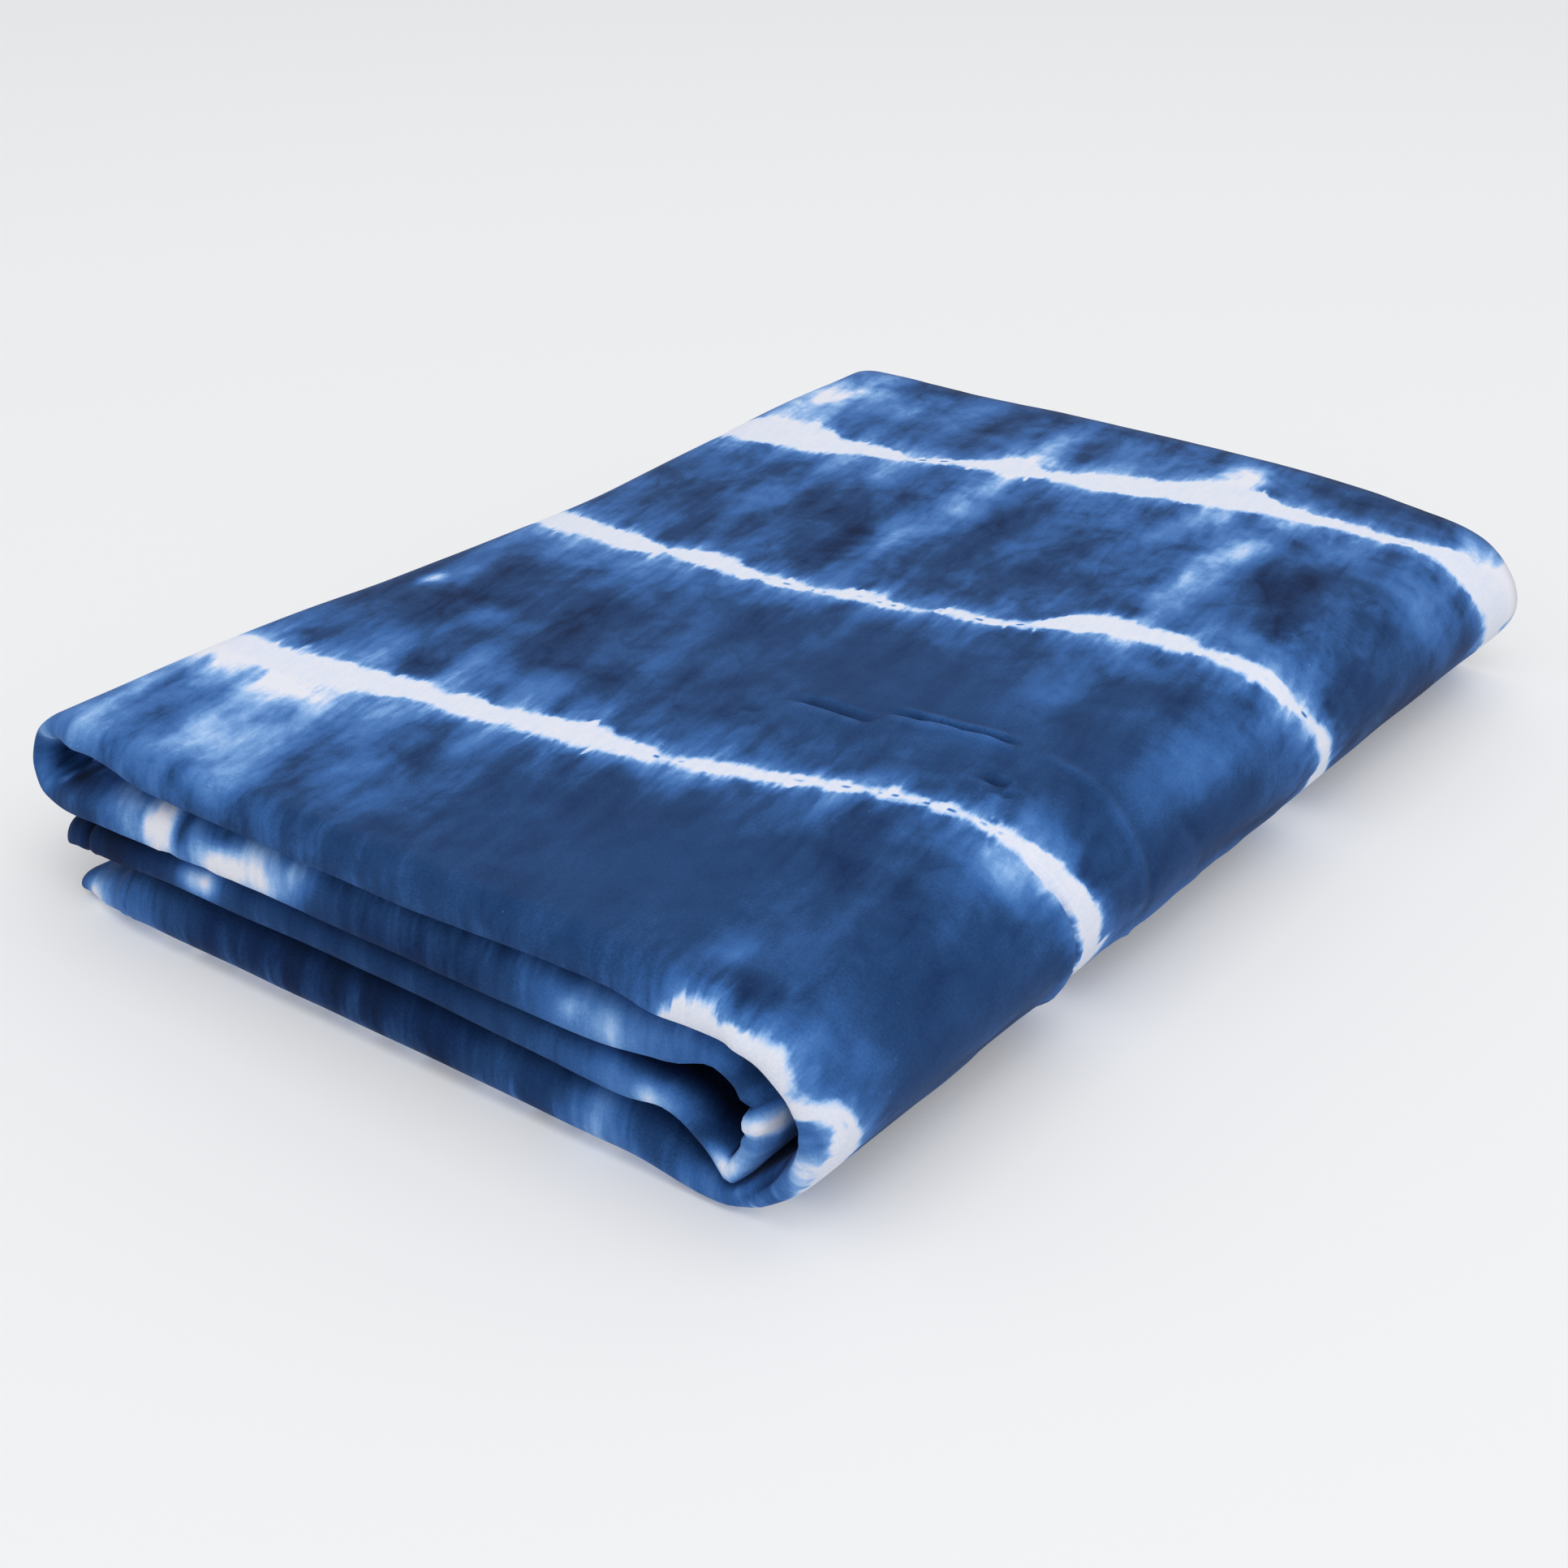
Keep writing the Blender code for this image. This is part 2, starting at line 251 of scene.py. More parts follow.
# Creases on the flat cloth, in mm: their half width, how deep the trough is, how much prouder the cloth in
# front of it lies, and their points as along and back
creaseRow = namedtuple("creaseRow", "where width depth step line")
creaseRows = [
    creaseRow("middle of the top", 1.2, 2.6, 0.6, [(60, 147.5), (80, 149.5), (99, 153)]),
    creaseRow("left of it", 1.3, 1.6, 0.3, [(34, 139.5), (48, 139), (62, 138)]),
    creaseRow("faint, further left", 1.6, 0.6, 0.1, [(22, 129), (33, 126)]),
    creaseRow("to the spine", 1.8, -0.4, 0.0, [(99, 154), (118, 152), (136, 147), (150, 142), (170, 142)]),
    creaseRow("before it", 1.4, 1.6, 0.3, [(94, 134), (103, 132), (112, 127.5)]),
    creaseRow(
        "fold over the spine", 1.3, 2.2, 0.9, [(121, 111), (131, 111.5), (142, 110.5), (152, 109), (166, 109)]
    ),
    creaseRow("spine, low, front", 2.0, 0.5, 0.2, [(148, 45), (153, 70), (150, 96)]),
    creaseRow("spine, low, middle", 2.0, -0.8, 0.2, [(150, 120), (154, 150), (151, 185), (155, 215)]),
    creaseRow("spine, low, back", 2.0, 0.6, 0.2, [(147, 190), (151, 230), (147, 262)]),
    creaseRow("spine, across", 1.8, 0.4, 0.2, [(133, 168), (142, 176), (153, 181)]),
    creaseRow("wrap, wrinkle", 1.6, 0.5, 0.1, [(139, 1), (146, 6), (153, 9)]),
    creaseRow("wrap, second wrinkle", 1.6, 0.4, 0.0, [(144, -2), (151, 3), (158, 8)]),
    creaseRow("bottom roll, slanting", 1.6, 1.0, 0.5, [(180, 2), (172, -3), (164, -6), (157, -14)]),
    creaseRow("bottom roll, press", 2.0, 0.4, 0.1, [(226, -14), (222, -4), (223, 6)]),
    creaseRow("hem line at the surface", 1.1, 0.8, 0.0, [(393, -24), (392, -8), (393, 8), (394, 22)]),
    creaseRow("hem line inside", 1.2, 0.8, 0.0, [(-658.5, -6), (-659, 3), (-658, 14)]),
    creaseRow("second roll, ripple", 1.8, 0.5, 0.1, [(-214, -12), (-211, -4), (-213, 5)]),
    creaseRow("second roll, next ripple", 1.8, 0.4, 0.1, [(-229, -12), (-227, -4), (-229, 5)]),
    creaseRow("over the folded piece", 1.3, 1.3, 0.0, [(-410, -16), (-411, -4), (-410, 6)]),
    creaseRow("under the folded piece", 1.3, 1.0, 0.0, [(-418.5, -16), (-417.5, -4), (-418, 6)]),
]

# A crease's section, in shares of its depth and half width, and how much of its length it takes to fade
creaseShape = {"lip": 0.4, "lipPlace": 2.2, "lipWidth": 1.4, "stepReach": 7, "fade": 0.22}

# The cloth's own unevenness: height in mm, and the size of the waves along and back
uneven = {
    "sway": (0.55, 48),
    "swaySeed": 7,                    # without a seed it would start from the clock, another lean each run
    "swell": (0.38, 34, 46),
    "ripple": (0.10, 7, 30),
    "spineRipple": (0.16, 5.5, 42),
    "spineBand": (134, 172, 8),       # along, from and to, and how softly it starts
    "turnFade": 6,                    # steps over which all of it fades where the cloth turns under
}


def nudge(points):
    for n in nudgeRows:
        away = (points / mm - (n.x, n.y, n.z)) / (n.spreadX, n.spreadY, n.spreadZ)
        share = np.exp(-np.sum(away**2, axis=-1))[..., None]
        points += share * np.array([n.moveX, n.moveY, n.moveZ]) * mm
    return points


def sway(points):
    # All layers lean together a little, and none of them at the floor
    noise.seed_set(uneven["swaySeed"])
    height, size = uneven["sway"]
    flat = points.reshape(-1, 3)
    moves = np.array([noise.noise_vector(Vector(p) / (size * mm)) for p in flat])
    lift = np.clip(flat[:, 2] / pack["height"], 0, 1)[:, None]
    return (flat + moves * lift * height * mm).reshape(points.shape)


def creaseHeight(along, back):
    # Each point's height from the creases, by its nearest place on each crease's line
    height = np.zeros(along.shape)
    for c in creaseRows:
        line = np.array(c.line, dtype=float)
        runs = np.concatenate([[0], np.cumsum(np.linalg.norm(np.diff(line, axis=0), axis=1))])
        nearest = np.full(along.shape, 1e6)
        signed = np.zeros(along.shape)
        place = np.zeros(along.shape)
        for start, end, run in zip(line[:-1], line[1:], runs):
            heading = end - start
            length = np.linalg.norm(heading)
            heading = heading / length
            across0, across1 = along / mm - start[0], back / mm - start[1]
            t = np.clip(across0 * heading[0] + across1 * heading[1], 0, length)
            away = np.hypot(across0 - t * heading[0], across1 - t * heading[1])
            side = across1 * heading[0] - across0 * heading[1]
            closer = away < nearest
            nearest = np.where(closer, away, nearest)
            signed = np.where(closer, side * np.sign(heading[0] + 1e-9), signed)
            place = np.where(closer, (run + t) / runs[-1], place)
        shape = creaseShape
        fade = ease(place / shape["fade"]) * ease((1 - place) / shape["fade"])
        trough = -c.depth * np.exp(-((nearest / c.width) ** 2))
        lipAway = (nearest - shape["lipPlace"] * c.width) / (shape["lipWidth"] * c.width)
        lip = shape["lip"] * c.depth * np.exp(-(lipAway**2))
        step = -c.step * np.tanh(signed / c.width) * np.exp(-nearest / (shape["stepReach"] * c.width))
        height += (trough + lip + step) * fade
    return height * mm


def waves(along, back, size, seed):
    flat = np.stack([along.ravel() / (size[0] * mm), back.ravel() / (size[1] * mm)], axis=1)
    return np.array([noise.noise(Vector((a, b, seed))) for a, b in flat]).reshape(along.shape)


def crumple(grid, along, back):
    # Small heights on the layer that shows and its front fold, square to the cloth
    columns = acrossSteps["outer"] + acrossSteps["nose"]
    normal = np.cross(np.gradient(grid, axis=0), np.gradient(grid, axis=1))
    normal /= np.linalg.norm(normal, axis=2)[:, :, None]
    a, b = along[:, :columns], back[:, :columns]
    height = creaseHeight(a, b)
    for name, seed in (("swell", 3.0), ("ripple", 11.0)):
        rise, *size = uneven[name]
        height += waves(a, b, size, seed) * rise * mm
    start, end, soft = uneven["spineBand"]
    onSpine = ease((a / mm - start) / soft) * ease((end - a / mm) / soft)
    rise, *size = uneven["spineRipple"]
    height += waves(a, b, size, 23.0) * rise * mm * onSpine
    height *= ease((columns - 1 - np.arange(columns)) / uneven["turnFade"])
    grid[:, :columns] += normal[:, :columns] * height[:, :, None]
    return grid


def flatPlaces(grid):
    # Where each point lies on the flat cloth: metres right of the top's middle, and back from the fold
    topMiddle = sum(r.steps for r in foldRows[: [r.where for r in foldRows].index("top, middle")])
    foldTip = acrossSteps["outer"] + acrossSteps["nose"] // 2
    step = np.linalg.norm(np.diff(grid[:, foldTip], axis=0)[:, ::2], axis=1)
    reach = np.concatenate([[0], np.cumsum(step)])
    along = np.repeat((reach[topMiddle] - reach)[:, None], grid.shape[1], axis=1)
    step = np.linalg.norm(np.diff(grid, axis=1), axis=2)
    back = np.concatenate([np.zeros((grid.shape[0], 1)), np.cumsum(step, axis=1)], axis=1)
    return along, back[:, foldTip : foldTip + 1] - back


class Thread:
    # One socket of a material, so that sums on it are written as plain Python
    def __init__(self, tree, socket):
        self.tree = tree
        self.socket = socket

    def make(self, kind, settings=None, plugs=None, out=0):
        node = self.tree.nodes.new(kind)
        for name, value in (settings or {}).items():
            if name == "stops":
                ramp = node.color_ramp
                while len(ramp.elements) < len(value):
                    ramp.elements.new(1.0)
                for stop, (place, colour) in zip(ramp.elements, value):
                    stop.position = place
                    stop.color = colour
            else:
                setattr(node, name, value)
        for name, value in (plugs or {}).items():
            if isinstance(value, Thread):
                self.tree.links.new(value.socket, node.inputs[name])
            else:
                node.inputs[name].default_value = value
        return Thread(self.tree, node.outputs[out])

    def maths(self, operation, *values, clamp=False):
        settings = {"operation": operation, "use_clamp": clamp}
        return self.make("ShaderNodeMath", settings, dict(enumerate(values)))

    def __add__(self, other):
        return self.maths("ADD", self, other)

    def __sub__(self, other):
        return self.maths("SUBTRACT", self, other)

    def __rsub__(self, other):
        return self.maths("SUBTRACT", other, self)

    def __mul__(self, other):
        return self.maths("MULTIPLY", self, other)

    def __truediv__(self, other):
        return self.maths("DIVIDE", self, other)

    def __neg__(self):
        return self.maths("MULTIPLY", self, -1.0)

    __radd__ = __add__
    __rmul__ = __mul__

    def size(self):
        return self.maths("ABSOLUTE", self)

    def over(self, least):
        return self.maths("MAXIMUM", self, least)

    def wave(self):
        return self.maths("SINE", self)

    def power(self, base):
        # The base raised to this
        return self.maths("POWER", base, self)

    def kept(self):
        # Held between 0 and 1
        return self.maths("ADD", self, 0.0, clamp=True)

    def between(self, low, high):
        # 0 at low, 1 at high, with a soft start and end
        plugs = {"Value": self, "From Min": low, "From Max": high}
        return self.make("ShaderNodeMapRange", {"interpolation_type": "SMOOTHSTEP"}, plugs)

    def vector(self, x, y, z=0.0):
        return self.make("ShaderNodeCombineXYZ", None, {0: x, 1: y, 2: z})

    def cloud(self, x, y, z=0.0, detail=2.0, roughness=0.5, distortion=0.0):
        plugs = {"Vector": self.vector(x, y, z), "Scale": 1.0, "Detail": detail, "Roughness": roughness}
        return self.make("ShaderNodeTexNoise", None, {**plugs, "Distortion": distortion})


def tint(red, green, blue):
    # A colour as a picture shows it, made linear
    parts = [part / 255 for part in (red, green, blue)]
    return (*[p / 12.92 if p <= 0.04045 else ((p + 0.055) / 1.055) ** 2.4 for p in parts], 1.0)


# The dyed stripes: the white between front and back, in mm on the flat cloth. Along is to the right of the
# top's middle and runs on over the spine, and front and back are measured from the cloth's front fold.
stripeRow = namedtuple("stripeRow", "along front back")
stripeRows = {
    "at the front corner": [
        stripeRow(80, -30, -20), stripeRow(94, -14, -1), stripeRow(100, -10, 3),
        stripeRow(106, -9, 5.5), stripeRow(112, -9, 4.5), stripeRow(117, -8, 6),
        stripeRow(122, -7, 7), stripeRow(126, -6, 8.5), stripeRow(129, -6, 6),
        stripeRow(132, -6, 4), stripeRow(135, -5, 5.5), stripeRow(137, -3, 10),
        stripeRow(139, 5, 13), stripeRow(142, 9, 15), stripeRow(145, 8, 18),
        stripeRow(149, 6, 18), stripeRow(158, 3, 14), stripeRow(170, 5, 14),
        stripeRow(230, 8, 18),
    ],
    "second from the front": [
        stripeRow(-140, 54, 66), stripeRow(-124, 60, 71), stripeRow(-108, 65, 74),
        stripeRow(-96, 63, 77), stripeRow(-82, 66, 83), stripeRow(-69, 71, 84),
        stripeRow(-52, 76, 87), stripeRow(-35, 76, 88), stripeRow(-20, 80, 89),
        stripeRow(-4, 80, 93), stripeRow(18, 85, 92), stripeRow(30, 87, 91),
        stripeRow(40, 88, 96), stripeRow(54, 92, 99), stripeRow(72, 99, 105),
        stripeRow(94, 108, 111.5), stripeRow(108, 110, 115), stripeRow(120, 109, 116),
        stripeRow(132, 111, 121), stripeRow(141, 113, 124), stripeRow(154, 114, 124),
        stripeRow(166, 116, 128), stripeRow(230, 124, 134),
    ],
    "third from the front": [
        stripeRow(-140, 200, 216), stripeRow(-100, 200, 213), stripeRow(-82, 201, 213),
        stripeRow(-66, 202, 210), stripeRow(-54, 202, 214), stripeRow(-40, 201, 210),
        stripeRow(-24, 202, 209), stripeRow(-8, 205, 208), stripeRow(5, 208, 215),
        stripeRow(16, 209, 212), stripeRow(27, 211, 213.5), stripeRow(35, 214, 221),
        stripeRow(44, 214, 219), stripeRow(57, 219, 222), stripeRow(64, 222, 235),
        stripeRow(74, 228, 243), stripeRow(95, 234, 244), stripeRow(108, 236, 242),
        stripeRow(120, 237, 245), stripeRow(134, 244, 248), stripeRow(142, 246, 254),
        stripeRow(156, 247, 262), stripeRow(230, 248, 262),
    ],
    "at the back": [
        stripeRow(-140, 296, 318), stripeRow(-120, 302, 322), stripeRow(-98, 307, 330),
        stripeRow(-78, 312, 325), stripeRow(-64, 315, 327), stripeRow(-50, 318, 323),
        stripeRow(-36, 326, 330), stripeRow(-21, 326, 344), stripeRow(-4, 331, 339),
        stripeRow(14, 333, 347), stripeRow(30, 335, 353), stripeRow(42, 339, 364),
        stripeRow(56, 342, 368), stripeRow(69, 346, 361), stripeRow(82, 350, 361),
        stripeRow(95, 355, 363), stripeRow(108, 357, 365), stripeRow(116, 361, 367),
        stripeRow(124, 363, 380), stripeRow(138, 365, 386), stripeRow(150, 371, 385),
        stripeRow(175, 392, 404), stripeRow(200, 430, 440), stripeRow(230, 460, 470),
    ],
}

# Lighter and darker places of the dye, and painted shade in the hollows at the left end and deep inside the
# inner turn, in mm on the flat cloth; a tone of 1 takes the dye to white
toneRow = namedtuple("toneRow", "where along back spreadAlong spreadBack tone")
toneRows = [
    toneRow("front left, light", -72, 36, 46, 32, 0.36),
    toneRow("front left, before the stripe", -80, 60, 34, 10, 0.30),
    toneRow("front edge, left", -104, 10, 28, 14, 0.30),
    toneRow("dark arc there", -100, 32, 5, 18, -0.20),
    toneRow("arc's foot", -88, 12, 12, 8, -0.14),
    toneRow("dark streak there", -41, 56, 9, 18, -0.20),
    toneRow("dark streak in front of it", -34, 18, 7, 16, -0.14),
    toneRow("left edge of the front", -120, 36, 9, 18, 0.30),
    toneRow("pale at the left end", -118, 60, 22, 10, 0.46),
    toneRow("front right, even", 50, 46, 60, 35, 0.0),
    toneRow("dark behind the corner stripe", 113, 15, 12, 5, -0.13),
    toneRow("over the corner stripe", 101, 24, 5, 8, 0.18),
    toneRow("beside it", 126, 16, 6, 5, 0.20),
    toneRow("beside it, on the turn", 136, 26, 5, 7, 0.08),
    toneRow("spine, low, lighter", 153, 60, 7, 60, 0.02),
    toneRow("behind the second stripe", -75, 106, 45, 12, 0.10),
    toneRow("left, dark blotch", -85, 160, 20, 18, -0.08),
    toneRow("left, dark blotch in front", -52, 160, 12, 12, -0.08),
    toneRow("left, light arc", -106, 152, 8, 18, 0.20),
    toneRow("left, second light arc", -84, 134, 18, 6, 0.14),
    toneRow("left, white mark", -112, 143, 3.5, 5, 0.60),
    toneRow("under the third stripe, left", -80, 190, 40, 8, 0.14),
    toneRow("left, lighter behind it", -74, 184, 50, 26, 0.10),
    toneRow("back, lighter", 0, 300, 130, 70, 0.08),
    toneRow("right, lighter", 90, 190, 10, 30, 0.10),
    toneRow("right, lighter streak", 129, 205, 8, 34, 0.14),
    toneRow("spine beside the second stripe", 122, 126, 5, 10, 0.14),
    toneRow("spine before the second stripe", 124, 101, 6, 8, 0.16),
    toneRow("spine behind it, low", 152, 150, 7, 45, 0.07),
    toneRow("spine, dark band", 140, 165, 7, 40, -0.05),
    toneRow("left, mottled", -92, 265, 26, 24, 0.05),
    toneRow("light streak", -14, 296, 8, 62, 0.29),
    toneRow("dark streak", 10, 285, 9, 42, -0.15),
    toneRow("dark streak left of the light", -40, 290, 10, 36, -0.10),
    toneRow("lighter patch", 32, 312, 12, 18, 0.18),
    toneRow("middle streak", 48, 300, 7, 26, 0.08),
    toneRow("bright streak", 79, 298, 8, 50, 0.42),
    toneRow("bright patch before the stripe", 62, 330, 11, 15, 0.24),
    toneRow("dark streak right of it", 105, 298, 7, 34, -0.13),
    toneRow("lighter, behind the third", 118, 262, 12, 20, 0.28),
    toneRow("clear blue at the spine", 132, 340, 12, 20, 0.10),
    toneRow("dark at the spine", 152, 300, 14, 40, -0.08),
    toneRow("before the back stripe, left", -65, 302, 35, 10, 0.14),
    toneRow("before the back stripe, bright", 105, 338, 5, 14, 0.30),
    toneRow("far left corner, pale", -115, 356, 14, 38, 0.62),
    toneRow("far left, mid", -78, 372, 26, 22, 0.18),
    toneRow("far edge, light streak", -20, 360, 12, 26, 0.28),
    toneRow("far edge, light", 17, 372, 12, 24, 0.28),
    toneRow("far edge, white", 50, 378, 13, 18, 0.52),
    toneRow("far right, white", 140, 390, 20, 20, 0.70),
    toneRow("bottom roll, at the wrap", 152, 2, 8, 7, 0.30),
    toneRow("bottom roll, right", 188, -4, 8, 9, 0.10),
    toneRow("bottom roll, streak", 221, -3, 4, 12, 0.18),
    toneRow("bottom roll, dark", 308, 0, 66, 30, -0.22),
    toneRow("bottom roll, behind the hem", 384, 0, 8, 12, 0.14),
    toneRow("bottom roll, hem", 402, -3, 8, 12, 0.28),
    toneRow("bottom roll, hem's corner", 409, 1, 4, 5, 0.60),
    toneRow("left end, high", -130, -3, 6, 5, 0.26),
    toneRow("left end, low", -153, -4, 6, 5, 0.18),
    # painted shade under the lip and in the hollow at the left end
    toneRow("left end, under the lip", -166, -12, 7, 5, -0.24),
    toneRow("left end, in the hollow", -145, -10, 8, 4, -0.26),
    toneRow("left end, spot", -159, -8.5, 2.5, 3, 0.34),
    toneRow("second roll, left", -178, -6, 10, 12, -0.08),
    toneRow("second roll, white", -206, -5, 10, 13, 0.88),
    toneRow("second roll, blue break", -217, -7, 2, 6, -0.40),
    toneRow("second roll, white again", -230, -2, 9, 7, 0.42),
    toneRow("second roll, third white", -248, -4, 12, 9, 0.72),
    toneRow("second roll, blue beside it", -232, -9, 6, 3, -0.30),
    toneRow("second roll, blue end", -260, -8, 4, 6, 0.20),
    toneRow("second roll, dark", -303, -4, 34, 20, -0.15),
    toneRow("second roll, right", -366, -4, 26, 12, 0.36),
    toneRow("second roll, pale mark", -366, -4, 2.4, 4, 0.36),
    toneRow("second roll, other mark", -354, -6, 1.8, 3, 0.28),
    toneRow("inner strip, dark", -404, -5, 6, 12, -0.06),
    toneRow("folded piece", -415.5, -5, 3.6, 10, 0.56),
    toneRow("inner turn, low", -424, -3, 6, 9, 0.40),
    toneRow("inner turn, rim", -431, 0, 6, 2.2, 0.60),
    toneRow("third roll, light", -466, 3, 16, 7, 0.16),
    # painted shade deep inside the inner turn
    toneRow("inside the turn, dark", -446, 15, 20, 6, -0.30),
    toneRow("third roll, white", -453, 1, 6, 4, 0.50),
    toneRow("third roll, teal", -555, 4, 55, 14, -0.09),
    toneRow("third roll, white mark", -611, 4, 6, 4, 0.72),
    toneRow("third roll, navy end", -648, 4, 24, 30, -0.20),
]

# Where the dye lies even, with few clouds in it
calmRow = namedtuple("calmRow", "where along back spreadAlong spreadBack calm")
calmRows = [
    calmRow("front right", 62, 38, 62, 42, 0.78),
    calmRow("middle", 66, 160, 78, 44, 0.72),
    calmRow("spine, front", 150, 55, 24, 62, 0.60),
    calmRow("spine, back", 150, 185, 16, 60, 0.45),
    calmRow("bottom roll", 305, 0, 110, 30, 0.86),
    calmRow("second roll", -310, 0, 85, 26, 0.65),
    calmRow("third roll", -560, 0, 120, 26, 0.70),
]

dye = {
    "turn": math.radians(10),         # the pattern is turned this far on the cloth
    "ramp": [
        (0.00, tint(0, 12, 36)),
        (0.14, tint(10, 40, 82)),
        (0.27, tint(32, 67, 115)),
        (0.40, tint(52, 97, 160)),
        (0.54, tint(76, 123, 187)),
        (0.68, tint(116, 160, 216)),
        (0.80, tint(158, 192, 236)),
        (0.91, tint(206, 218, 241)),
        (1.00, tint(229, 230, 239)),
    ],
    "base": 0.26,
    "clouded": 1.8,           # a lighter or darker place of the table breaks up this much with the clouds
    "banded": 1.6,            # and this much with the bands
    "veinSpan": 0.05,
    "creaseShadeAndLipHighlight": 0.095,     # how much darker, per mm of its depth, a crease's trough is painted as shade, and how much lighter its lip is painted as highlight
}

# Where the white ends and the dye bleeds into it, in mm and in shares of the ramp
bleeding = {
    "reach": 34,              # how far a stripe can colour the cloth beside it
    "reachFade": 0.4,
    "tonguesFrom": 0.60,      # only the highest of their pattern run out
    "crispest": 1.3,
    "edge": 0.8,              # the white ends over this much of the softness, to each side
    "softSpan": (0.35, 0.65),
    "longSpan": (0.32, 0.72),
    "shortest": 1.3,
    "strength": 0.37,
    "hairy": 0.4,
    "streaky": 0.5,
    "white": 0.97,
    "whiteHairs": 0.10,
}

# The stitching's trace: dark dashes along the middle of the narrow white, in mm
stitching = {
    "dash": 4,
    "dashSpan": (0.50, 0.66),
    "wander": 2.4,
    "wanderSize": 9,
    "halfWidth": (1.1, 0.1),
    "whiteHalf": (4.0, 2.2),          # no dashes where its half width is over the first
    "strength": 0.5,
}

# Cotton's grain, uneven yarns both ways, lint, and the weave itself: sizes in mm, and how much they do
cotton = {
    "weavePitch": 0.44,
    "grainSize": 0.7,
    "grain": 0.14,
    "yarn": (0.5, 3),
    "slub": 0.035,
    "lintSize": (1.3, 0.8),
    "lintFrom": 0.77,
    "lint": 3.0,
    "fluffSize": 0.9,
    "weaveBump": 0.03,
    "fluffBump": 0.08,
    "slubBump": 0.05,
    "bumpStrength": 0.7,
    "finish": {
        "Roughness": 0.9,
        "Sheen Weight": 0.05,
        "Sheen Roughness": 0.4,
        "Specular IOR Level": 0.12,
    },
}

# The dye's patterns: their size along the stripes and across them, in mm, and how much they push or tint
patternRow = namedtuple("patternRow", "along across seed detail roughness distortion strength")
patternRows = {
    "lobes": patternRow(13, 22, 1.0, 4, 0.62, 0.4, 12),
    "hairs": patternRow(2.1, 9, 5.0, 3, 0.60, 0.0, 2.0),
    "tongues": patternRow(6, 22, 9.0, 2, 0.50, 0.0, 26),
    "softness": patternRow(10, 16, 6.0, 1, 0.50, 0.0, 2.0),
    "length": patternRow(15, 70, 4.0, 3, 0.55, 0.0, 11),
    "clouds": patternRow(24, 32, 2.0, 6, 0.60, 0.25, 0.62),
    "bands": patternRow(13, 95, 41.0, 3, 0.50, 0.0, 0.34),
    "streaks": patternRow(5, 34, 8.0, 3, 0.55, 0.0, 0.14),
    "veins": patternRow(15, 38, 31.0, 2, 0.50, 0.3, 0.035),
}


def stripeFields(along, back):
    # Signed distance to the nearest stripe's middle, its half width there, and how near it is, 1 to 0
    side = np.full(along.shape, 1.0)
    half = np.zeros(along.shape)
    for rows in stripeRows.values():
        places = np.array(rows) * mm
        front = np.interp(along, places[:, 0], places[:, 1])
        behind = np.interp(along, places[:, 0], places[:, 2])
        gap = (back - (front + behind) / 2) * math.cos(dye["turn"])
        nearer = np.abs(gap) - (behind - front) / 2 < np.abs(side) - half
        side = np.where(nearer, gap, side)
        half = np.where(nearer, (behind - front) / 2, half)
    reach = bleeding["reach"] * mm
    near = ease((half + reach - np.abs(side)) / (bleeding["reachFade"] * reach))
    return side, half, near


def spots(along, back, rows):
    # The sum of soft round spots, each as strong as its row's last value
    total = np.zeros(along.shape)
    for row in rows:
        awayAlong = (along / mm - row.along) / row.spreadAlong
        awayBack = (back / mm - row.back) / row.spreadBack
        total += row[-1] * np.exp(-(awayAlong**2 + awayBack**2))
    return total


